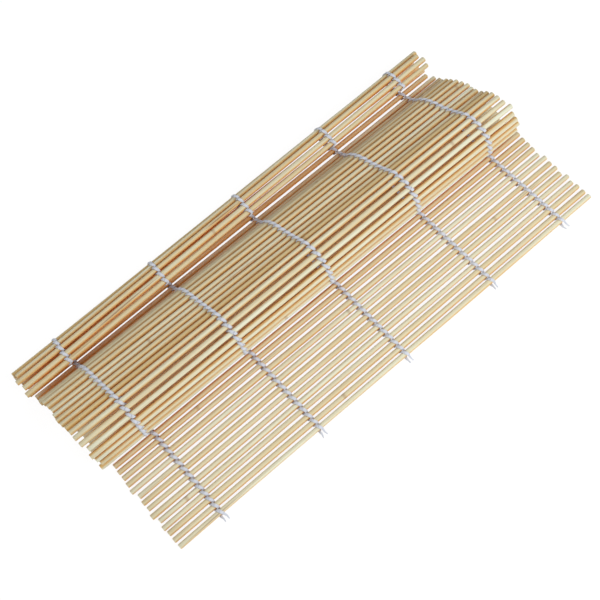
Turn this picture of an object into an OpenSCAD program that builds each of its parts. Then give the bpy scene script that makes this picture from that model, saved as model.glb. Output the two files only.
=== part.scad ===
// Sushi rolling mat: round bamboo sticks side by side, woven together by twined cotton strings.
// It lies as such a mat is put down half rolled: flat at the near edge, then folded back under a
// loose hump, down to the table again, and with its far edge rolled over onto itself.
// X runs along the sticks, Y from the near edge to the far edge, Z up.

/* [Sticks] */
// Length of a stick
stick_len = 240; // [200:5:300]
// Diameter of a stick
stick_d = 2.4; // [2.2:0.05:2.5]
// Distance from one stick's axis to the next
pitch = 3.44; // [3.4:0.02:3.8]
// Most that a stick is thicker or thinner than the others
d_vary = 0.06; // [0:0.01:0.08]
// Most that a stick is shifted endways from its row
end_vary = 1; // [0:0.1:1.5]
// Edge broken off a stick's cut ends
end_bevel = 0.2; // [0.1:0.05:0.4]
// Shift along X that each stick of the folded part adds
drift = 0.2; // [0:0.02:0.4]
// Extra room between two sticks at the hump's foot, where the floor shows through
foot_gap = 0.8; // [0:0.1:1]

/* [Strings] */
// Thickness of one strand, pressed flat on the bamboo
strand_t = 0.44; // [0.3:0.02:0.5]
// Width of one strand
strand_w = 0.8; // [0.6:0.05:1]
// Clearance between a strand and a stick
strand_gap = 0.1; // [0.08:0.01:0.2]
// Sideways shift of the two strands where they cross between sticks
strand_shift = 0.6; // [0.45:0.01:0.8]
// Distance of the first string from the sticks' left ends
string_first = 22; // [15:1:30]
// Distance of the last string from the sticks' right ends
string_last = 18.4; // [15:0.1:30]
// Length of the cut tails at the near edge
tail_len = 3; // [1:0.5:6]

/* [Hidden] */
// Stretches of the woven mat from the near edge on: joints, turn at the left end and at the
// right end in degrees, up being positive. The hump stands higher at its left end.
stretches = [
    [19, 0, 0],
    [3, 189, 189],
    [3, 0, 0],
    [4, -105, -102],
    [2, -17, -27],
    [5, -94, -97],
    [5, 5.5, 18],
    [4, -47.75, -31.25],
    [4, 69.25, 50.25],
    [1, 0, 0],
    [3, 139, 115],
    [2, 40, 59],
    [1, 8, 12]
];
flat_sticks = 14;
foot_joint = 48;
count = 1 + sum([for (s = stretches) s[0]]);
string_x = [for (f = [0, 0.271, 0.5195, 0.778, 1])
    -stick_len / 2 + string_first + f * (stick_len - string_first - string_last)];
max_r = stick_d / 2 + d_vary / 2;
wrap_r = max_r + strand_gap + strand_t / 2;
base_z = wrap_r + strand_t / 2;
section_sides = 5;
wide_turn = 150;
$fn = 32;

function two(n) = n < 10 ? str("0", n) : str(n);

function sum(v, i = 0) = i < len(v) ? v[i] + sum(v, i + 1) : 0;

// Turn at joint j, counted from 1, at the left (side 1) or right (side 2) end
function turn_at(j, side, s = 0) =
    j <= stretches[s][0] ? stretches[s][side] / stretches[s][0]
                         : turn_at(j - stretches[s][0], side, s + 1);
function headings(side, j = 1, h = 0) =
    j >= count ? []
               : let (g = h + turn_at(j, side)) concat([g], headings(side, j + 1, g));
head = [headings(1), headings(2)];

// Places of the sticks' axes in the plane of one end
function spacing(j) = pitch + (j == foot_joint ? foot_gap : 0);
function places(h, k = 0, p = [0, base_z]) =
    k == len(h) ? [p]
                : concat([p], places(h, k + 1, p + spacing(k + 1) * [cos(h[k]), sin(h[k])]));
profile = [for (h = head) places(h)];

function row_shift(k) = -drift * max(k - flat_sticks, 0);
spread = rands(-1, 1, 2 * count, 7);
function stick_r(k) = stick_d / 2 + d_vary / 2 * spread[k - 1];
function end_shift(k) = end_vary * spread[count + k - 1];

// A point on the axis of stick k, x being counted from its row's middle
function on_stick(k, x) =
    let (f = 0.5 + x / stick_len, q = (1 - f) * profile[0][k - 1] + f * profile[1][k - 1])
        [x + row_shift(k), q[0], q[1]];

module stick(k) {
    a = on_stick(k, -stick_len / 2);
    b = on_stick(k, stick_len / 2);
    yaw = atan2(b[1] - a[1], stick_len);
    rise = atan2(b[2] - a[2], stick_len);
    r = stick_r(k);
    half = stick_len / 2;
    color(k % 3 == 0 ? "burlywood" : k % 3 == 1 ? "wheat" : "navajowhite")
        translate((a + b) / 2 + [end_shift(k), 0, 0])
            rotate([0, 90 - rise, yaw])
                rotate_extrude()
                    polygon([[0, -half], [r - end_bevel, -half], [r, -half + end_bevel],
                             [r, half - end_bevel], [r - end_bevel, half], [0, half]]);
}

// Heading of the mat at string x between stick k and the next
function heading(k, x) =
    let (f = 0.5 + x / stick_len) (1 - f) * head[0][k - 1] + f * head[1][k - 1];
function heading_in(k, x) = k > 1 ? heading(k - 1, x) : heading(1, x);
function heading_out(k, x) = k < count ? heading(k, x) : heading(count - 1, x);

// A strand crosses from over one stick to under the next along their common tangent
lead = acos(min(2 * wrap_r / pitch, 0.99));

// Points where a strand turns over (side 1) or under (side -1) stick k; a wide turn gets three
function stitch(k, x, side) =
    let (c = on_stick(k, x), g0 = heading_in(k, x), g1 = heading_out(k, x),
         mid = (g0 + g1) / 2 + side * 90,
         wide = 180 - 2 * lead + side * (g0 - g1),
         n = wide > wide_turn ? 3 : 2,
         part = wide / (2 * n),
         rr = wrap_r / cos(part))
        [for (i = [1:n])
            let (share = n + 1 - 2 * i, a = mid + side * share * part)
                [c[0] + side * share / (n - 1) * strand_shift,
                 c[1] + rr * cos(a),
                 c[2] + rr * sin(a)]];
function side_of(k, strand) = (k % 2 == 0 ? 1 : -1) * strand;
function strand_points(x, strand) =
    [for (k = [1:count], q = stitch(k, x, side_of(k, strand))) q];
function reversed(v) = [for (i = [len(v) - 1:-1:0]) v[i]];

// Out along one strand, round the outermost stick, and back along the other
function string_points(x) =
    let (out = strand_points(x, 1), back = reversed(strand_points(x, -1)),
         g = heading_in(count, x), c = on_stick(count, x),
         turn = wrap_r / cos(30),
         loop = [for (a = [30, -30]) let (b = g + a * side_of(count, 1))
             [c[0], c[1] + turn * cos(b), c[2] + turn * sin(b)]],
         tail = [0, -tail_len, 0])
        concat([out[0] + tail], out, loop, back, [back[len(back) - 1] + tail]);

function unit(v) = v / norm(v);
function direction(p, i) =
    unit(p[min(i + 1, len(p) - 1)] - p[max(i - 1, 0)]);

// Section of the strand: wide along X, thin across the mat
function ring(p, i) =
    let (t = direction(p, i), n = unit(cross(t, [1, 0, 0])), w = cross(n, t))
        [for (s = [0:section_sides - 1])
            let (a = 360 * s / section_sides)
                p[i] + strand_w / 2 * cos(a) * w + strand_t / 2 * sin(a) * n];

module tube(p) {
    m = section_sides;
    rings = [for (i = [0:len(p) - 1], q = ring(p, i)) q];
    walls = [for (i = [0:len(p) - 2], s = [0:m - 1])
        let (a = i * m + s, b = i * m + (s + 1) % m) each [[a, b + m, b], [a, a + m, b + m]]];
    last = (len(p) - 1) * m;
    polyhedron(rings, concat([[for (s = [0:m - 1]) s]], walls,
                             [[for (s = [m - 1:-1:0]) last + s]]));
}

module strings() {
    color("ghostwhite")
        for (x = string_x)
            tube(string_points(x));
}

for (k = [1:count])
    stick(k);
strings();
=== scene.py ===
"""Sushi rolling mat: bamboo sticks twined together with cotton yarn, lying half folded."""
import random
from math import cos, radians, sin

import bpy
import numpy as np
from bpy.props import FloatProperty, FloatVectorProperty, IntProperty, PointerProperty
from mathutils import Matrix, Vector


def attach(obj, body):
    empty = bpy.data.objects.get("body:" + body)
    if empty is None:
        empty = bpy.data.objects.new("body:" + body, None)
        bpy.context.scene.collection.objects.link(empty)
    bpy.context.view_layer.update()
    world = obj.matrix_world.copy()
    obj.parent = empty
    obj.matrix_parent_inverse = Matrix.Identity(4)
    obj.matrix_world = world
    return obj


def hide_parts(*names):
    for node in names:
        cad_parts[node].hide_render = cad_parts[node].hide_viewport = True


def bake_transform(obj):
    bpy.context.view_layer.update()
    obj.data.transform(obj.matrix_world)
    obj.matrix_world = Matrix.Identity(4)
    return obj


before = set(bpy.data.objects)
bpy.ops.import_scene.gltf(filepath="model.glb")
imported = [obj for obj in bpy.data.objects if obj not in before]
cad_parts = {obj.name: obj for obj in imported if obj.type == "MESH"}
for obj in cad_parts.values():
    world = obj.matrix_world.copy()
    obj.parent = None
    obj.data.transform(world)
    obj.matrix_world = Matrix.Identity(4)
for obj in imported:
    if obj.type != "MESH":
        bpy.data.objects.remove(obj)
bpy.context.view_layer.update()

bl_info = {
    "name": "Sushi Rolling Mat",
    "version": (1, 0, 0),
    "blender": (4, 5, 0),
    "location": "3D View > Sidebar > Rolling Mat",
    "description": "Dresses the sticks and strings of a folded bamboo rolling mat",
    "category": "Object",
}

STICKS = sorted(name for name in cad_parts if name.startswith("stick_"))
# Reach of the ambient occlusion that paints shade into the nooks between the sticks
NOOK_SHADE_REACH = 0.03
FLOOR_CLEARNESS = 0.85
FLOOR_GLOW = 0.5


class StickLooks(bpy.types.PropertyGroup):
    """Shape and colours of the bamboo sticks"""

    wobble: FloatProperty(
        name="Wobble",
        description="How far a stick strays from a straight line",
        default=0.0006,
        precision=5,
        subtype="DISTANCE",
        unit="LENGTH",
    )
    bevel: FloatProperty(
        name="End bevel",
        description="Edge worn off a cut end",
        default=0.0002,
        precision=5,
        subtype="DISTANCE",
        unit="LENGTH",
    )
    rings: IntProperty(
        name="Rings", description="Rings of points along a stick", default=26, min=8
    )
    sides: IntProperty(name="Sides", description="Sides of a stick", default=14, min=8)
    straw: FloatVectorProperty(
        name="Straw",
        description="Colour of the palest sticks",
        default=(0.765, 0.785, 0.62),
        subtype="COLOR",
    )
    tan: FloatVectorProperty(
        name="Tan",
        description="Colour of the darkest sticks",
        default=(0.68, 0.545, 0.295),
        subtype="COLOR",
    )
    fibre: FloatVectorProperty(
        name="Fibre",
        description="Colour of the fibre bundles along a stick",
        default=(0.48, 0.30, 0.12),
        subtype="COLOR",
    )
    # Painted shade: the colour that the ambient occlusion mask lays into the nooks between the sticks
    nook_shade: FloatVectorProperty(
        name="Nook shade",
        description="Colour deep down between the sticks",
        default=(0.88, 0.31, 0.034),
        subtype="COLOR",
    )
    # Painted shade: a warm darker colour on the flanks that face the next stick, where the gap shades
    # them
    flank_shade: FloatVectorProperty(
        name="Flank shade",
        description="Colour of the flanks that face the next stick",
        default=(0.67, 0.39, 0.10),
        subtype="COLOR",
    )


class TwineLooks(bpy.types.PropertyGroup):
    """Shape and colours of the cotton yarn"""

    half_width: FloatProperty(
        name="Half width",
        description="Half the width of a stitch on a stick",
        default=0.00078,
        precision=5,
        subtype="DISTANCE",
        unit="LENGTH",
    )
    half_thick: FloatProperty(
        name="Half thickness",
        description="Half the thickness of a stitch on a stick",
        default=0.00036,
        precision=5,
        subtype="DISTANCE",
        unit="LENGTH",
    )
    shift: FloatProperty(
        name="Crossing shift",
        description="Sideways shift of the two strands where they cross",
        default=0.0008,
        precision=5,
        subtype="DISTANCE",
        unit="LENGTH",
    )
    tail: FloatProperty(
        name="Tail",
        description="Length of the cut tails at the near edge",
        default=0.0032,
        precision=4,
        subtype="DISTANCE",
        unit="LENGTH",
    )
    cotton: FloatVectorProperty(
        name="Cotton",
        description="Colour of the yarn",
        default=(0.66, 0.69, 0.76),
        subtype="COLOR",
    )
    # Painted shade: the darker colour of the yarn where it runs down between the sticks and along its
    # twist lines
    hollow_shade: FloatVectorProperty(
        name="Hollow shade",
        description="Colour of the yarn down between the sticks",
        default=(0.42, 0.46, 0.55),
        subtype="COLOR",
    )


class StageLooks(bpy.types.PropertyGroup):
    """Camera and lamps"""

    azimuth: FloatProperty(
        name="Azimuth",
        description="Direction of the camera from the mat",
        default=radians(-123.72),
        subtype="ANGLE",
    )
    elevation: FloatProperty(
        name="Elevation",
        description="Height of the camera over the table, as an angle",
        default=radians(65.96),
        subtype="ANGLE",
    )
    roll: FloatProperty(
        name="Roll", description="Turn about the view", default=radians(-7.9), subtype="ANGLE"
    )
    distance: FloatProperty(
        name="Distance",
        description="Distance of the camera from its target",
        default=0.4882,
        subtype="DISTANCE",
        unit="LENGTH",
    )
    lens: FloatProperty(
        name="Lens", description="Focal length on a 36 mm sensor", default=65.94, min=1
    )
    target: FloatVectorProperty(
        name="Target",
        description="Point that the camera looks at",
        default=(-0.0112, 0.0498, 0.0018),
        subtype="TRANSLATION",
        unit="LENGTH",
    )
    key: FloatProperty(
        name="Key lamp", description="Power of the key lamp in watts", default=2.4, min=0
    )


def vertices(obj):
    """The points of a mesh object as an array."""
    points = np.empty(len(obj.data.vertices) * 3)
    obj.data.vertices.foreach_get("co", points)
    return points.reshape(-1, 3)


def stick_axis(name):
    """Both ends of a stick's axis, left end first, and its radius."""
    points = vertices(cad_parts[name])
    middle = (points[:, 0].min() + points[:, 0].max()) / 2
    left = points[points[:, 0] < middle].mean(axis=0)
    right = points[points[:, 0] >= middle].mean(axis=0)
    along = (right - left) / np.linalg.norm(right - left)
    reach = (points - left) @ along
    radius = np.linalg.norm(points - left - np.outer(reach, along), axis=1).max()
    return left + along * reach.min(), left + along * reach.max(), radius


AXES = {name: stick_axis(name) for name in STICKS}
MIDDLES = [(AXES[name][0] + AXES[name][1]) / 2 for name in STICKS]


def node_group(name, kind, inputs, outputs):
    """A new node tree with named sockets, and its two end nodes."""
    tree = bpy.data.node_groups.new(name, kind)
    for label, socket, default in inputs:
        item = tree.interface.new_socket(label, in_out="INPUT", socket_type=socket)
        if default is not None:
            item.default_value = default
    for label, socket in outputs:
        tree.interface.new_socket(label, in_out="OUTPUT", socket_type=socket)
    start = tree.nodes.new("NodeGroupInput")
    end = tree.nodes.new("NodeGroupOutput")
    return tree, start, end


def add(tree, kind, settings=(), links=(), values=()):
    """Adds a node, sets its properties, links its inputs and fills in values."""
    node = tree.nodes.new(kind)
    for key, value in settings:
        setattr(node, key, value)
    for key, source in links:
        tree.links.new(source, node.inputs[key])
    for key, value in values:
        node.inputs[key].default_value = value
    return node


def math(tree, operation, first, second=None, clamp=False):
    """A Math node; each operand is a socket or a number."""
    node = tree.nodes.new("ShaderNodeMath")
    node.operation = operation
    node.use_clamp = clamp
    for index, operand in enumerate((first, second)):
        if operand is None:
            continue
        if isinstance(operand, (int, float)):
            node.inputs[index].default_value = operand
        else:
            tree.links.new(operand, node.inputs[index])
    return node.outputs[0]


def vector_math(tree, operation, first, second, scale=None):
    """A Vector Math node; each operand is a socket or a vector."""
    node = tree.nodes.new("ShaderNodeVectorMath")
    node.operation = operation
    for index, operand in enumerate((first, second)):
        if operand is None:
            continue
        if isinstance(operand, (tuple, list)):
            node.inputs[index].default_value = operand
        else:
            tree.links.new(operand, node.inputs[index])
    if scale is not None:
        if isinstance(scale, (int, float)):
            node.inputs["Scale"].default_value = scale
        else:
            tree.links.new(scale, node.inputs["Scale"])
    return node.outputs["Value" if operation == "DOT_PRODUCT" else "Vector"]


def store(tree, geometry, name, kind, value):
    """Stores a named attribute on the points of a geometry."""
    node = add(
        tree,
        "GeometryNodeStoreNamedAttribute",
        [("data_type", kind), ("domain", "POINT")],
        [("Geometry", geometry), ("Value", value)],
        [("Name", name)],
    )
    return node.outputs["Geometry"]


def finish_tree(tree, geometry, material, end):
    """Realizes what repeats, sets the material and closes the tree."""
    real = add(tree, "GeometryNodeRealizeInstances", links=[("Geometry", geometry)])
    smooth = add(tree, "GeometryNodeSetShadeSmooth", links=[("Geometry", real.outputs[0])])
    coated = add(
        tree,
        "GeometryNodeSetMaterial",
        links=[("Geometry", smooth.outputs[0]), ("Material", material)],
    )
    tree.links.new(coated.outputs[0], end.inputs[0])


def capture_place(tree, curve):
    """Keeps each point's place on the curve, for the surface made along it."""
    place = add(tree, "GeometryNodeInputPosition")
    node = tree.nodes.new("GeometryNodeCaptureAttribute")
    node.capture_items.new("VECTOR", "Place")
    tree.links.new(curve, node.inputs["Geometry"])
    tree.links.new(place.outputs[0], node.inputs["Place"])
    return node.outputs["Geometry"], node.outputs["Place"]


def stick_tree():
    """A round stick between two points, a little wavy, with bevelled ends."""
    tree, start, end = node_group(
        "Bamboo Stick",
        "GeometryNodeTree",
        [
            ("Geometry", "NodeSocketGeometry", None),
            ("Left End", "NodeSocketVector", None),
            ("Right End", "NodeSocketVector", None),
            ("Across", "NodeSocketVector", None),
            ("Length", "NodeSocketFloat", 0.24),
            ("Radius", "NodeSocketFloat", 0.0012),
            ("Bevel", "NodeSocketFloat", 0.0002),
            ("Wobble", "NodeSocketFloat", 0.0001),
            ("Rings", "NodeSocketInt", 26),
            ("Sides", "NodeSocketInt", 14),
            ("Tone", "NodeSocketFloat", 0.5),
            ("Seed", "NodeSocketInt", 0),
            ("Material", "NodeSocketMaterial", None),
        ],
        [("Geometry", "NodeSocketGeometry")],
    )
    line = add(
        tree,
        "GeometryNodeCurvePrimitiveLine",
        links=[("Start", start.outputs["Left End"]), ("End", start.outputs["Right End"])],
    )
    points = add(
        tree,
        "GeometryNodeResampleCurve",
        links=[("Curve", line.outputs[0]), ("Count", start.outputs["Rings"])],
    )
    index = add(tree, "GeometryNodeInputIndex").outputs[0]
    inner = math(tree, "SUBTRACT", start.outputs["Rings"], 3.0)
    share = math(tree, "DIVIDE", math(tree, "SUBTRACT", index, 1.0), inner)
    twice = math(tree, "MULTIPLY", start.outputs["Bevel"], 2.0)
    span = math(tree, "SUBTRACT", start.outputs["Length"], twice)
    reach = math(tree, "ADD", math(tree, "MULTIPLY", share, span), start.outputs["Bevel"])
    reach = math(tree, "MAXIMUM", reach, 0.0)
    reach = math(tree, "MINIMUM", reach, start.outputs["Length"])
    factor = math(tree, "DIVIDE", reach, start.outputs["Length"])
    way = vector_math(tree, "SUBTRACT", start.outputs["Right End"], start.outputs["Left End"])
    step = vector_math(tree, "SCALE", way, None, factor)
    straight = vector_math(tree, "ADD", start.outputs["Left End"], step)
    shift = math(tree, "MULTIPLY", start.outputs["Seed"], 1.7)
    noise = add(
        tree,
        "ShaderNodeTexNoise",
        [("noise_dimensions", "4D")],
        [("Vector", straight), ("W", shift)],
        [("Scale", 7.0), ("Detail", 1.0)],
    )
    stray = vector_math(tree, "SUBTRACT", noise.outputs["Color"], (0.5, 0.5, 0.5))
    stray = vector_math(tree, "MULTIPLY", stray, (0.0, 2.0, 1.6))
    stray = vector_math(tree, "SCALE", stray, None, start.outputs["Wobble"])
    placed = add(
        tree,
        "GeometryNodeSetPosition",
        links=[
            ("Geometry", points.outputs[0]),
            ("Position", vector_math(tree, "ADD", straight, stray)),
        ],
    )
    to_end = math(tree, "MINIMUM", reach, math(tree, "SUBTRACT", start.outputs["Length"], reach))
    at_end = math(tree, "LESS_THAN", to_end, 1e-7)
    cut = math(tree, "MULTIPLY", at_end, start.outputs["Bevel"])
    swell = math(tree, "SUBTRACT", noise.outputs["Fac"], 0.5)
    swell = math(tree, "MULTIPLY", swell, start.outputs["Wobble"])
    girth = math(tree, "ADD", start.outputs["Radius"], swell)
    thick = add(
        tree,
        "GeometryNodeSetCurveRadius",
        links=[
            ("Curve", placed.outputs[0]),
            ("Radius", math(tree, "SUBTRACT", girth, cut)),
        ],
    )
    curve, place = capture_place(tree, thick.outputs[0])
    reach_kept = tree.nodes.new("GeometryNodeCaptureAttribute")
    reach_kept.capture_items.new("FLOAT", "Reach")
    tree.links.new(curve, reach_kept.inputs["Geometry"])
    tree.links.new(reach, reach_kept.inputs["Reach"])
    circle = add(
        tree,
        "GeometryNodeCurvePrimitiveCircle",
        links=[("Resolution", start.outputs["Sides"])],
        values=[("Radius", 1.0)],
    )
    skin = curve_skin(tree, reach_kept.outputs["Geometry"], circle.outputs["Curve"])
    position = add(tree, "GeometryNodeInputPosition").outputs[0]
    spoke = vector_math(tree, "SUBTRACT", position, place)
    flat = vector_math(tree, "MULTIPLY", spoke, (0.0, 1.0, 1.0))
    lengthways = add(tree, "ShaderNodeCombineXYZ", links=[("X", reach_kept.outputs["Reach"])])
    grain = vector_math(tree, "ADD", flat, lengthways.outputs[0])
    # The flank attribute: how squarely a point faces the next stick; the bamboo material paints shade
    # by it
    sideways = vector_math(tree, "DOT_PRODUCT", spoke, start.outputs["Across"])
    flank = math(tree, "ABSOLUTE", math(tree, "DIVIDE", sideways, start.outputs["Radius"]))
    body = store(tree, skin, "grain", "FLOAT_VECTOR", grain)
    body = store(tree, body, "flank", "FLOAT", flank)
    body = store(tree, body, "tone", "FLOAT", start.outputs["Tone"])
    body = store(tree, body, "seed", "FLOAT", start.outputs["Seed"])
    finish_tree(tree, body, start.outputs["Material"], end)
    return tree


def curve_skin(tree, curve, profile):
    """The surface that a profile sweeps along a curve, sized by the curve's radius."""
    node = add(
        tree,
        "GeometryNodeCurveToMesh",
        links=[("Curve", curve), ("Profile Curve", profile)],
        values=[("Fill Caps", True)],
    )
    if "Scale" in node.inputs:
        radius = add(tree, "GeometryNodeInputRadius")
        tree.links.new(radius.outputs[0], node.inputs["Scale"])
    return node.outputs[0]


def yarn_tree():
    """A flattened strand along each line of a mesh, its wide side facing the stick."""
    tree, start, end = node_group(
        "Cotton Yarn",
        "GeometryNodeTree",
        [
            ("Geometry", "NodeSocketGeometry", None),
            ("Half Width", "NodeSocketFloat", 0.0006),
            ("Half Thickness", "NodeSocketFloat", 0.0003),
            ("Sides", "NodeSocketInt", 8),
            ("Material", "NodeSocketMaterial", None),
        ],
        [("Geometry", "NodeSocketGeometry")],
    )
    line = add(tree, "GeometryNodeMeshToCurve", links=[("Mesh", start.outputs["Geometry"])])
    facing = add(
        tree,
        "GeometryNodeInputNamedAttribute",
        [("data_type", "FLOAT_VECTOR")],
        values=[("Name", "facing")],
    )
    turned = add(
        tree,
        "GeometryNodeSetCurveNormal",
        [("mode", "FREE")],
        [("Curve", line.outputs[0]), ("Normal", facing.outputs[0])],
    )
    plump = add(
        tree,
        "GeometryNodeInputNamedAttribute",
        [("data_type", "FLOAT")],
        values=[("Name", "plump")],
    )
    thick = add(
        tree,
        "GeometryNodeSetCurveRadius",
        links=[("Curve", turned.outputs[0]), ("Radius", plump.outputs[0])],
    )
    curve, place = capture_place(tree, thick.outputs[0])
    circle = add(
        tree,
        "GeometryNodeCurvePrimitiveCircle",
        links=[("Resolution", start.outputs["Sides"])],
        values=[("Radius", 1.0)],
    )
    sizes = add(
        tree,
        "ShaderNodeCombineXYZ",
        links=[("X", start.outputs["Half Thickness"]), ("Y", start.outputs["Half Width"])],
        values=[("Z", 1.0)],
    )
    section = add(
        tree,
        "GeometryNodeTransform",
        links=[("Geometry", circle.outputs["Curve"]), ("Scale", sizes.outputs[0])],
    )
    skin = curve_skin(tree, curve, section.outputs[0])
    position = add(tree, "GeometryNodeInputPosition").outputs[0]
    spoke = vector_math(tree, "SUBTRACT", position, place)
    body = store(tree, skin, "spoke", "FLOAT_VECTOR", spoke)
    finish_tree(tree, body, start.outputs["Material"], end)
    return tree


def socket_id(tree, label):
    """The identifier of a tree's input."""
    for item in tree.interface.items_tree:
        if item.item_type == "SOCKET" and item.in_out == "INPUT" and item.name == label:
            return item.identifier
    raise ValueError(f"{tree.name} has no input {label}")


def grow(name, mesh, tree, values):
    """Runs a geometry tree on a mesh and returns the plain result as an object."""
    source = bpy.data.objects.new(name + "_source", mesh)
    bpy.context.scene.collection.objects.link(source)
    modifier = source.modifiers.new("Grow", "NODES")
    modifier.node_group = tree
    for label, value in values.items():
        modifier[socket_id(tree, label)] = value
    graph = bpy.context.evaluated_depsgraph_get()
    graph.update()
    result = bpy.data.meshes.new_from_object(source.evaluated_get(graph), depsgraph=graph)
    source.modifiers.remove(modifier)
    bpy.data.objects.remove(source)
    if len(result.polygons) == 0:
        raise ValueError(f"{name} came out empty")
    result.name = name
    obj = bpy.data.objects.new(name, result)
    bpy.context.scene.collection.objects.link(obj)
    return obj


def material(name):
    """A new node material with its Principled shader."""
    made = bpy.data.materials.new(name)
    made.use_nodes = True
    return made, made.node_tree, made.node_tree.nodes["Principled BSDF"]


def mixed(tree, factor, first, second, mode="MIX"):
    """A colour Mix node; operands are sockets, colours or numbers."""
    node = tree.nodes.new("ShaderNodeMix")
    node.data_type = "RGBA"
    node.blend_type = mode
    for key, operand in ((0, factor), (6, first), (7, second)):
        if isinstance(operand, (int, float)):
            node.inputs[key].default_value = operand
        elif isinstance(operand, (tuple, list)) or hasattr(operand, "foreach_get"):
            node.inputs[key].default_value = (*operand, 1.0)
        else:
            tree.links.new(operand, node.inputs[key])
    return node.outputs[2]


def ranged(tree, value, low, high, to_low=0.0, to_high=1.0):
    """A Map Range node that clamps."""
    node = add(tree, "ShaderNodeMapRange", links=[("Value", value)])
    for key, number in (
        ("From Min", low),
        ("From Max", high),
        ("To Min", to_low),
        ("To Max", to_high),
    ):
        node.inputs[key].default_value = number
    return node.outputs[0]


def attribute(tree, name):
    """An Attribute node that reads a mesh attribute."""
    return add(tree, "ShaderNodeAttribute", [("attribute_name", name)])


def fibre_group():
    """Streaks along one axis: a colour mask and a height, from stretched noise."""
    tree, start, end = node_group(
        "Long Fibres",
        "ShaderNodeTree",
        [
            ("Vector", "NodeSocketVector", None),
            ("Along", "NodeSocketFloat", 12.0),
            ("Across", "NodeSocketFloat", 2400.0),
            ("Seed", "NodeSocketFloat", 0.0),
        ],
        [("Mask", "NodeSocketFloat"), ("Height", "NodeSocketFloat")],
    )
    scale = add(
        tree,
        "ShaderNodeCombineXYZ",
        links=[
            ("X", start.outputs["Along"]),
            ("Y", start.outputs["Across"]),
            ("Z", start.outputs["Across"]),
        ],
    )
    stretched = vector_math(tree, "MULTIPLY", start.outputs["Vector"], scale.outputs[0])
    coarse = add(
        tree,
        "ShaderNodeTexNoise",
        [("noise_dimensions", "4D")],
        [("Vector", stretched), ("W", start.outputs["Seed"])],
        [("Scale", 1.0), ("Detail", 3.0), ("Roughness", 0.6)],
    )
    fine = add(
        tree,
        "ShaderNodeTexNoise",
        [("noise_dimensions", "4D")],
        [("Vector", stretched), ("W", start.outputs["Seed"])],
        [("Scale", 2.7), ("Detail", 2.0)],
    )
    mask = ranged(tree, coarse.outputs["Fac"], 0.42, 0.68)
    tree.links.new(mask, end.inputs["Mask"])
    height = math(tree, "ADD", coarse.outputs["Fac"], fine.outputs["Fac"])
    tree.links.new(height, end.inputs["Height"])
    return tree


def bamboo(looks, fibres):
    """Split bamboo: tones from stick to stick, fibres along it, nodes and brown streaks, with painted
    shade on the flanks that face the next stick and deep in the nooks between the sticks.
    """
    made, tree, shader = material("Bamboo")
    grain = attribute(tree, "grain").outputs["Vector"]
    tone = attribute(tree, "tone").outputs["Fac"]
    seed = attribute(tree, "seed").outputs["Fac"]
    group = add(tree, "ShaderNodeGroup", [("node_tree", fibres)], [("Vector", grain), ("Seed", seed)])
    group.inputs["Along"].default_value = 14.0
    group.inputs["Across"].default_value = 1500.0
    base = mixed(tree, tone, tuple(looks.straw), tuple(looks.tan))
    patches = add(
        tree,
        "ShaderNodeTexNoise",
        [("noise_dimensions", "4D")],
        [("Vector", vector_math(tree, "MULTIPLY", grain, (24.0, 240.0, 240.0))), ("W", seed)],
        [("Scale", 1.0), ("Detail", 2.0)],
    )
    warm = ranged(tree, patches.outputs["Fac"], 0.35, 0.7, 0.0, 0.45)
    base = mixed(tree, warm, base, tuple(looks.tan))
    lines = math(tree, "MULTIPLY", group.outputs["Mask"], 0.28)
    base = mixed(tree, lines, base, tuple(looks.fibre))
    streaks = add(
        tree,
        "ShaderNodeTexNoise",
        [("noise_dimensions", "4D")],
        [("Vector", vector_math(tree, "MULTIPLY", grain, (16.0, 520.0, 520.0))), ("W", seed)],
        [("Scale", 1.0), ("Detail", 1.0)],
    )
    streak = ranged(tree, streaks.outputs["Fac"], 0.68, 0.76, 0.0, 0.75)
    base = mixed(tree, streak, base, (0.24, 0.11, 0.045))
    # Painted shade on the flanks that face the next stick, by the flank attribute
    flank = ranged(tree, attribute(tree, "flank").outputs["Fac"], 0.6, 1.0, 0.0, 0.8)
    base = mixed(tree, flank, base, tuple(looks.flank_shade))
    # Painted shade: where ambient occlusion finds a point closed in between sticks, the colour turns
    # towards the saturated nook shade colour
    nook_shade = add(tree, "ShaderNodeAmbientOcclusion", [("samples", 6)])
    nook_shade.inputs["Distance"].default_value = NOOK_SHADE_REACH
    deep = ranged(tree, nook_shade.outputs["AO"], 0.12, 0.45, 0.95, 0.0)
    base = mixed(tree, deep, base, tuple(looks.nook_shade))
    split = add(tree, "ShaderNodeSeparateXYZ", links=[("Vector", grain)])
    start = math(tree, "MULTIPLY", seed, 0.37)
    beat = math(tree, "ADD", math(tree, "MULTIPLY", split.outputs[0], 1.4), start)
    beat = math(tree, "FRACT", beat)
    ring = math(tree, "ABSOLUTE", math(tree, "SUBTRACT", beat, 0.5))
    knot = ranged(tree, ring, 0.0004, 0.0016, 1.0, 0.0)
    base = mixed(tree, math(tree, "MULTIPLY", knot, 0.4), base, (0.32, 0.16, 0.07))
    tree.links.new(base, shader.inputs["Base Color"])
    rough = ranged(tree, group.outputs["Height"], 0.6, 1.3, 0.42, 0.6)
    tree.links.new(rough, shader.inputs["Roughness"])
    shader.inputs["Specular IOR Level"].default_value = 0.15
    swell = ranged(tree, ring, 0.0, 0.008, 1.0, 0.0)
    relief = math(tree, "ADD", group.outputs["Height"], math(tree, "MULTIPLY", swell, 0.8))
    bump = add(tree, "ShaderNodeBump", links=[("Height", relief)])
    bump.inputs["Strength"].default_value = 0.35
    bump.inputs["Distance"].default_value = 0.00012
    tree.links.new(bump.outputs[0], shader.inputs["Normal"])
    return made


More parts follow.
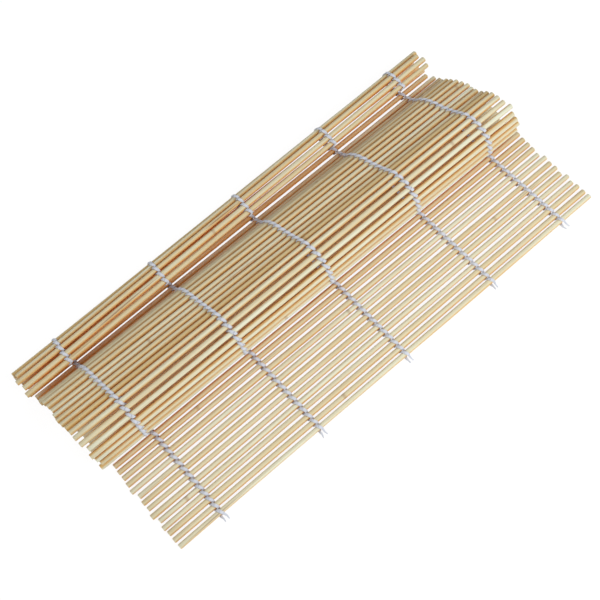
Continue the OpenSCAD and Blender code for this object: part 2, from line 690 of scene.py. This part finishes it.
def cotton(looks):
    """Twisted cotton yarn: pale ridges, with painted shade along the twist lines and down between the
    sticks.
    """
    made, tree, shader = material("Cotton Yarn")
    lay = attribute(tree, "lay").outputs["Vector"]
    spoke = attribute(tree, "spoke").outputs["Vector"]
    depth = attribute(tree, "depth").outputs["Fac"]
    along = add(tree, "ShaderNodeSeparateXYZ", links=[("Vector", lay)])
    across = add(tree, "ShaderNodeSeparateXYZ", links=[("Vector", spoke)])
    phase = math(tree, "ADD", along.outputs[0], math(tree, "MULTIPLY", across.outputs[0], 0.9))
    twist = math(tree, "SINE", math(tree, "MULTIPLY", phase, 9000.0))
    twist = ranged(tree, twist, -1.0, 1.0)
    fuzz = add(
        tree,
        "ShaderNodeTexNoise",
        links=[("Vector", vector_math(tree, "ADD", lay, spoke))],
        values=[("Scale", 5200.0), ("Detail", 2.0)],
    )
    # Painted shade: the yarn turns towards the hollow shade colour as the shade depth rises between
    # the sticks
    base = mixed(tree, depth, tuple(looks.cotton), tuple(looks.hollow_shade))
    # Painted shade along the twist lines: the grooves between the plies turn towards the hollow shade
    # colour
    dark = math(tree, "MULTIPLY", math(tree, "SUBTRACT", 1.0, twist), 0.28)
    base = mixed(tree, dark, base, tuple(looks.hollow_shade))
    tree.links.new(base, shader.inputs["Base Color"])
    shader.inputs["Roughness"].default_value = 0.9
    shader.inputs["Sheen Weight"].default_value = 0.3
    relief = math(tree, "ADD", twist, math(tree, "MULTIPLY", fuzz.outputs["Fac"], 0.7))
    bump = add(tree, "ShaderNodeBump", links=[("Height", relief)])
    bump.inputs["Strength"].default_value = 0.6
    bump.inputs["Distance"].default_value = 0.00008
    tree.links.new(bump.outputs[0], shader.inputs["Normal"])
    return made


class MAT_OT_sticks(bpy.types.Operator):
    """Make every bamboo stick on its body"""

    bl_idname = "rolling_mat.sticks"
    bl_label = "Bamboo sticks"

    def execute(self, context):
        looks = context.scene.mat_sticks
        tree = stick_tree()
        surface = bamboo(looks, fibre_group())
        tones = random.Random(11)
        for number, name in enumerate(STICKS):
            left, right, radius = AXES[name]
            across = section(number, 0.0)[1]
            values = {
                "Left End": tuple(left),
                "Right End": tuple(right),
                "Across": tuple(across),
                "Length": float(np.linalg.norm(right - left)),
                "Radius": float(radius),
                "Bevel": looks.bevel,
                "Wobble": looks.wobble,
                "Rings": looks.rings,
                "Sides": looks.sides,
                "Tone": min(1.0, max(0.0, tones.gauss(0.38, 0.24))),
                "Seed": number,
                "Material": surface,
            }
            blank = bpy.data.meshes.new(name + "_blank")
            piece = grow(name + "_bamboo", blank, tree, values)
            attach(piece, name)
            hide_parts(name)
        return {"FINISHED"}


def at(number, x):
    """The point on a stick's axis at a place along X."""
    left, right, _ = AXES[STICKS[number]]
    return left + (right - left) * (x - left[0]) / (right[0] - left[0])


def string_places():
    """Where each string crosses the first and the last stick, along X."""
    points = vertices(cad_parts["strings"])
    near = at(0, 0.0)[1]
    far = at(len(STICKS) - 1, 0.0)[1]
    places = []
    for level in (near, far):
        band = np.sort(points[abs(points[:, 1] - level) < 0.003][:, 0])
        groups = np.split(band, np.where(np.diff(band) > 0.01)[0] + 1)
        places.append([(group[0] + group[-1]) / 2 for group in groups])
    return places


def string_x(string, number):
    """The place along X of a string on a stick, which drifts with the rows."""
    flat = 14
    first = STRING_PLACES[string]
    total = ROW_DRIFT
    return first + total * max(number + 1 - flat, 0)


def yz(vector):
    """A vector's part in the plane across the sticks."""
    return np.array([0.0, vector[1], vector[2]])


def unit(vector):
    return vector / np.linalg.norm(vector)


def section(number, x):
    """Centre, direction across the mat, its normal and the turn at a stick."""
    last = len(STICKS) - 1
    here = at(number, x)
    before = unit(yz(here - at(number - 1, x))) if number > 0 else None
    after = unit(yz(at(number + 1, x) - here)) if number < last else None
    before = after if before is None else before
    after = before if after is None else after
    middle = unit(before + after)
    normal = np.array([0.0, -middle[2], middle[1]])
    turn = np.arctan2(before[1] * after[2] - before[2] * after[1], before @ after)
    return here, middle, normal, turn


def stitch(number, x, side, share, radius, shift):
    """A point of the strand round a stick; share runs from -1, near side, to 1, far side."""
    centre, middle, normal, turn = section(number, x)
    pitch = np.linalg.norm(MIDDLES[1] - MIDDLES[0])
    lead = np.arccos(min(2 * radius / pitch, 0.99))
    half = np.pi / 2 - lead - side * turn / 2
    angle = share * half
    point = centre + radius * (cos(angle) * side * normal + sin(angle) * middle)
    return point - np.array([side * share * shift, 0.0, 0.0])


def side_of(number, strand):
    return strand if number % 2 else -strand


class Lines:
    """Polylines with the attributes that the yarn tree reads."""

    def __init__(self):
        self.points = []
        self.edges = []
        self.plump = []
        self.facing = []
        self.depth = []
        self.lay = []

    def run(self, points, plump, depth, start=0.0):
        points = np.array(points)
        base = len(self.points)
        step = np.gradient(points, axis=0)
        reach = start
        for index, point in enumerate(points):
            if index:
                reach += np.linalg.norm(point - points[index - 1])
                self.edges.append((base + index - 1, base + index))
            along = unit(step[index])
            face = np.cross((1.0, 0.0, 0.0), along)
            size = np.linalg.norm(face)
            face = face / size if size > 0.05 else np.array([0.0, 0.0, 1.0])
            self.points.append(tuple(point))
            self.facing.append(tuple(face))
            self.plump.append(plump[index])
            self.depth.append(depth[index])
            self.lay.append((reach, 0.0, 0.0))

    def mesh(self, name):
        made = bpy.data.meshes.new(name)
        made.from_pydata(self.points, self.edges, [])
        for label, kind, field, values in (
            ("plump", "FLOAT", "value", self.plump),
            ("depth", "FLOAT", "value", self.depth),
            ("facing", "FLOAT_VECTOR", "vector", self.facing),
            ("lay", "FLOAT_VECTOR", "vector", self.lay),
        ):
            data = made.attributes.new(label, kind, "POINT")
            data.data.foreach_set(field, np.array(values, np.float32).ravel())
        return made


STITCH_SHARES = (0.0, 0.35, 0.7, 1.0)
PLUMPNESS = (1.0, 1.0, 0.95, 0.8)
# Painted shade along each half stitch: none on top of the stick, more towards the gap where the
# strands cross
SHADE_DEPTHS = (0.0, 0.0, 0.05, 0.25)


def crossing(number, x, strand, radius, shift):
    """A strand from the middle of its stitch on one stick to that on the next."""
    side = side_of(number, strand)
    out = [stitch(number, x, side, share, radius, shift) for share in STITCH_SHARES]
    into = [stitch(number + 1, x, -side, -share, radius, shift) for share in reversed(STITCH_SHARES)]
    middle = (out[-1] + into[0]) / 2
    plump = [*PLUMPNESS, 0.66, *reversed(PLUMPNESS)]
    # The middle of a crossing, down between the sticks, gets the deepest painted shade
    depth = [*SHADE_DEPTHS, 0.8, *reversed(SHADE_DEPTHS)]
    return [*out, middle, *into], plump, depth


def wrap_radius(looks, number):
    return AXES[STICKS[number]][2] + looks.half_thick


class MAT_OT_twine(bpy.types.Operator):
    """Make the cotton strings, stitch by stitch, so that they follow every stick"""

    bl_idname = "rolling_mat.twine"
    bl_label = "Cotton strings"

    def execute(self, context):
        looks = context.scene.mat_twine
        tree = yarn_tree()
        surface = cotton(looks)
        values = {
            "Half Width": looks.half_width,
            "Half Thickness": looks.half_thick,
            "Sides": 10,
            "Material": surface,
        }
        last = len(STICKS) - 1
        for number in range(last):
            radius = (wrap_radius(looks, number) + wrap_radius(looks, number + 1)) / 2
            lines = Lines()
            for string in range(len(STRING_PLACES)):
                x = string_x(string, number + 0.5)
                for strand in (1, -1):
                    lines.run(*crossing(number, x, strand, radius, looks.shift))
            piece = grow(f"twine_{number + 1:02d}", lines.mesh("twine"), tree, values)
            self.bend(piece, number)
            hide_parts("strings")
        for piece, body in (
            (self.near_edge(looks, tree, values), STICKS[0]),
            (self.far_edge(looks, tree, values), STICKS[last]),
        ):
            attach(piece, body)
            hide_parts("strings")
        return {"FINISHED"}

    def bend(self, piece, number):
        """Bakes the piece's placement into its mesh."""
        here, there = MIDDLES[number], MIDDLES[number + 1]
        left, right, _ = AXES[STICKS[number]]
        along = unit(right - left)
        way = there - here
        way = way - along * (way @ along)
        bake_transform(piece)

    def near_edge(self, looks, tree, values):
        """The turns round the near edge's stick, with their cut tails."""
        lines = Lines()
        loose = random.Random(5)
        radius = wrap_radius(looks, 0)
        for string in range(len(STRING_PLACES)):
            x = string_x(string, 0)
            for strand in (1, -1):
                side = side_of(0, strand)
                turn = [stitch(0, x, side, -share, radius, looks.shift) for share in STITCH_SHARES]
                floor = turn[-1][2] if side < 0 else radius * 0.7
                end = turn[-1] + np.array([loose.uniform(-0.6, 0.6) * 0.001, -looks.tail, 0.0])
                end[2] = floor + loose.uniform(0.0, 0.0004)
                middle = (turn[-1] + end) / 2 + np.array([loose.uniform(-0.3, 0.3) * 0.001, 0.0, 0.0])
                points = [*turn, middle, end]
                lines.run(points, [*PLUMPNESS, 0.5, 0.3], [*SHADE_DEPTHS, 0.1, 0.0])
        return grow("twine_tails", lines.mesh("twine"), tree, values)

    def far_edge(self, looks, tree, values):
        """The turns of the strings round the outermost stick."""
        lines = Lines()
        last = len(STICKS) - 1
        radius = wrap_radius(looks, last)
        for string in range(len(STRING_PLACES)):
            x = string_x(string, last)
            top = [stitch(last, x, 1, share, radius, looks.shift) for share in STITCH_SHARES]
            under = [stitch(last, x, -1, share, radius, looks.shift) for share in STITCH_SHARES]
            centre, middle, _, _ = section(last, x)
            points = [*top, centre + radius * middle, *reversed(under)]
            plump = [*PLUMPNESS, 0.8, *reversed(PLUMPNESS)]
            depth = [0.0] * len(points)
            lines.run(points, plump, depth)
        return grow("twine_far_loops", lines.mesh("twine"), tree, values)


def camera_axes(looks):
    """Right, up and backward directions of the camera."""
    back = Vector(
        (
            cos(looks.elevation) * cos(looks.azimuth),
            cos(looks.elevation) * sin(looks.azimuth),
            sin(looks.elevation),
        )
    )
    right = Vector((0.0, 0.0, 1.0)).cross(back).normalized()
    up = back.cross(right)
    turned = right * cos(looks.roll) + up * sin(looks.roll)
    raised = up * cos(looks.roll) - right * sin(looks.roll)
    return turned, raised, back


class MAT_OT_stage(bpy.types.Operator):
    """Make the floor, the lamps, the world and the camera"""

    bl_idname = "rolling_mat.stage"
    bl_label = "Stage"

    def execute(self, context):
        looks = context.scene.mat_stage
        self.camera(context, looks)
        self.floor()
        self.world(context.scene)
        middle = Vector((0.0, 0.05, 0.0))
        self.lamp("key_lamp", middle, (0.15, -0.42, 0.42), 0.30, looks.key)
        self.lamp("fill_lamp", middle, (-0.45, 0.15, 0.50), 0.50, looks.key * 0.32)
        context.scene.view_settings.view_transform = "Standard"
        return {"FINISHED"}

    def camera(self, context, looks):
        data = bpy.data.cameras.new("camera")
        data.sensor_width = 36.0
        data.lens = looks.lens
        data.clip_start = 0.01
        obj = bpy.data.objects.new("camera", data)
        right, up, back = camera_axes(looks)
        place = Vector(looks.target) + back * looks.distance
        turn = Matrix((right, up, back)).transposed().to_4x4()
        obj.matrix_world = Matrix.Translation(place) @ turn
        context.scene.collection.objects.link(obj)
        context.scene.camera = obj

    def floor(self):
        mesh = bpy.data.meshes.new("floor")
        size = 3.0
        mesh.from_pydata(
            [(-size, -size, 0.0), (size, -size, 0.0), (size, size, 0.0), (-size, size, 0.0)],
            [],
            [(0, 1, 2, 3)],
        )
        obj = bpy.data.objects.new("floor", mesh)
        bpy.context.scene.collection.objects.link(obj)
        made, tree, shader = material("Table")
        shader.inputs["Base Color"].default_value = (0.88, 0.88, 0.88, 1.0)
        shader.inputs["Roughness"].default_value = 0.9
        rays = add(tree, "ShaderNodeLightPath")
        seen = math(tree, "MAXIMUM", rays.outputs["Is Camera Ray"], rays.outputs["Is Glossy Ray"])
        seen = math(tree, "MAXIMUM", seen, rays.outputs["Is Transmission Ray"])
        shader.inputs["Emission Color"].default_value = (1.0, 1.0, 1.0, 1.0)
        tree.links.new(math(tree, "MULTIPLY", seen, FLOOR_GLOW), shader.inputs["Emission Strength"])
        # Seen from the camera the floor is nearly clear, so sticks that bend below the table show
        clear = add(tree, "ShaderNodeBsdfTransparent")
        through = add(tree, "ShaderNodeMixShader")
        share = math(tree, "MULTIPLY", rays.outputs["Is Camera Ray"], FLOOR_CLEARNESS)
        tree.links.new(share, through.inputs[0])
        tree.links.new(shader.outputs[0], through.inputs[1])
        tree.links.new(clear.outputs[0], through.inputs[2])
        tree.links.new(through.outputs[0], tree.nodes["Material Output"].inputs["Surface"])
        mesh.materials.append(made)

    def world(self, scene):
        world = bpy.data.worlds.new("studio")
        scene.world = world
        world.use_nodes = True
        tree = world.node_tree
        ground = tree.nodes["Background"]
        rays = add(tree, "ShaderNodeLightPath")
        seen = math(tree, "MAXIMUM", rays.outputs["Is Camera Ray"], rays.outputs["Is Glossy Ray"])
        seen = math(tree, "MAXIMUM", seen, rays.outputs["Is Transmission Ray"])
        tree.links.new(ranged(tree, seen, 0.0, 1.0, 0.42, 1.0), ground.inputs["Strength"])
        ground.inputs["Color"].default_value = (1.0, 1.0, 1.0, 1.0)

    def lamp(self, name, target, offset, size, power):
        data = bpy.data.lights.new(name, "AREA")
        data.energy = power
        data.size = size
        obj = bpy.data.objects.new(name, data)
        obj.location = target + Vector(offset)
        obj.rotation_euler = Vector(offset).to_track_quat("Z", "Y").to_euler()
        bpy.context.scene.collection.objects.link(obj)


class MAT_PT_panel(bpy.types.Panel):
    """Lists the steps and their settings"""

    bl_idname = "MAT_PT_panel"
    bl_label = "Rolling Mat"
    bl_space_type = "VIEW_3D"
    bl_region_type = "UI"
    bl_category = "Rolling Mat"

    def draw(self, context):
        for title, group, operator in (
            ("Sticks", context.scene.mat_sticks, MAT_OT_sticks),
            ("Twine", context.scene.mat_twine, MAT_OT_twine),
            ("Stage", context.scene.mat_stage, MAT_OT_stage),
        ):
            box = self.layout.box()
            box.label(text=title)
            for name in group.__annotations__:
                box.prop(group, name)
            box.operator(operator.bl_idname)


CLASSES = (
    StickLooks,
    TwineLooks,
    StageLooks,
    MAT_OT_sticks,
    MAT_OT_twine,
    MAT_OT_stage,
    MAT_PT_panel,
)


def register():
    for cls in CLASSES:
        bpy.utils.register_class(cls)
    bpy.types.Scene.mat_sticks = PointerProperty(type=StickLooks)
    bpy.types.Scene.mat_twine = PointerProperty(type=TwineLooks)
    bpy.types.Scene.mat_stage = PointerProperty(type=StageLooks)


def unregister():
    del bpy.types.Scene.mat_stage
    del bpy.types.Scene.mat_twine
    del bpy.types.Scene.mat_sticks
    for cls in reversed(CLASSES):
        bpy.utils.unregister_class(cls)


NEAR_PLACES, FAR_PLACES = string_places()
STRING_PLACES = NEAR_PLACES
ROW_DRIFT = (FAR_PLACES[0] - NEAR_PLACES[0]) / (len(STICKS) - 14)


def main():
    """Makes the whole mat."""
    register()
    bpy.ops.rolling_mat.sticks()
    bpy.ops.rolling_mat.twine()
    bpy.ops.rolling_mat.stage()


if __name__ == "__main__":
    main()
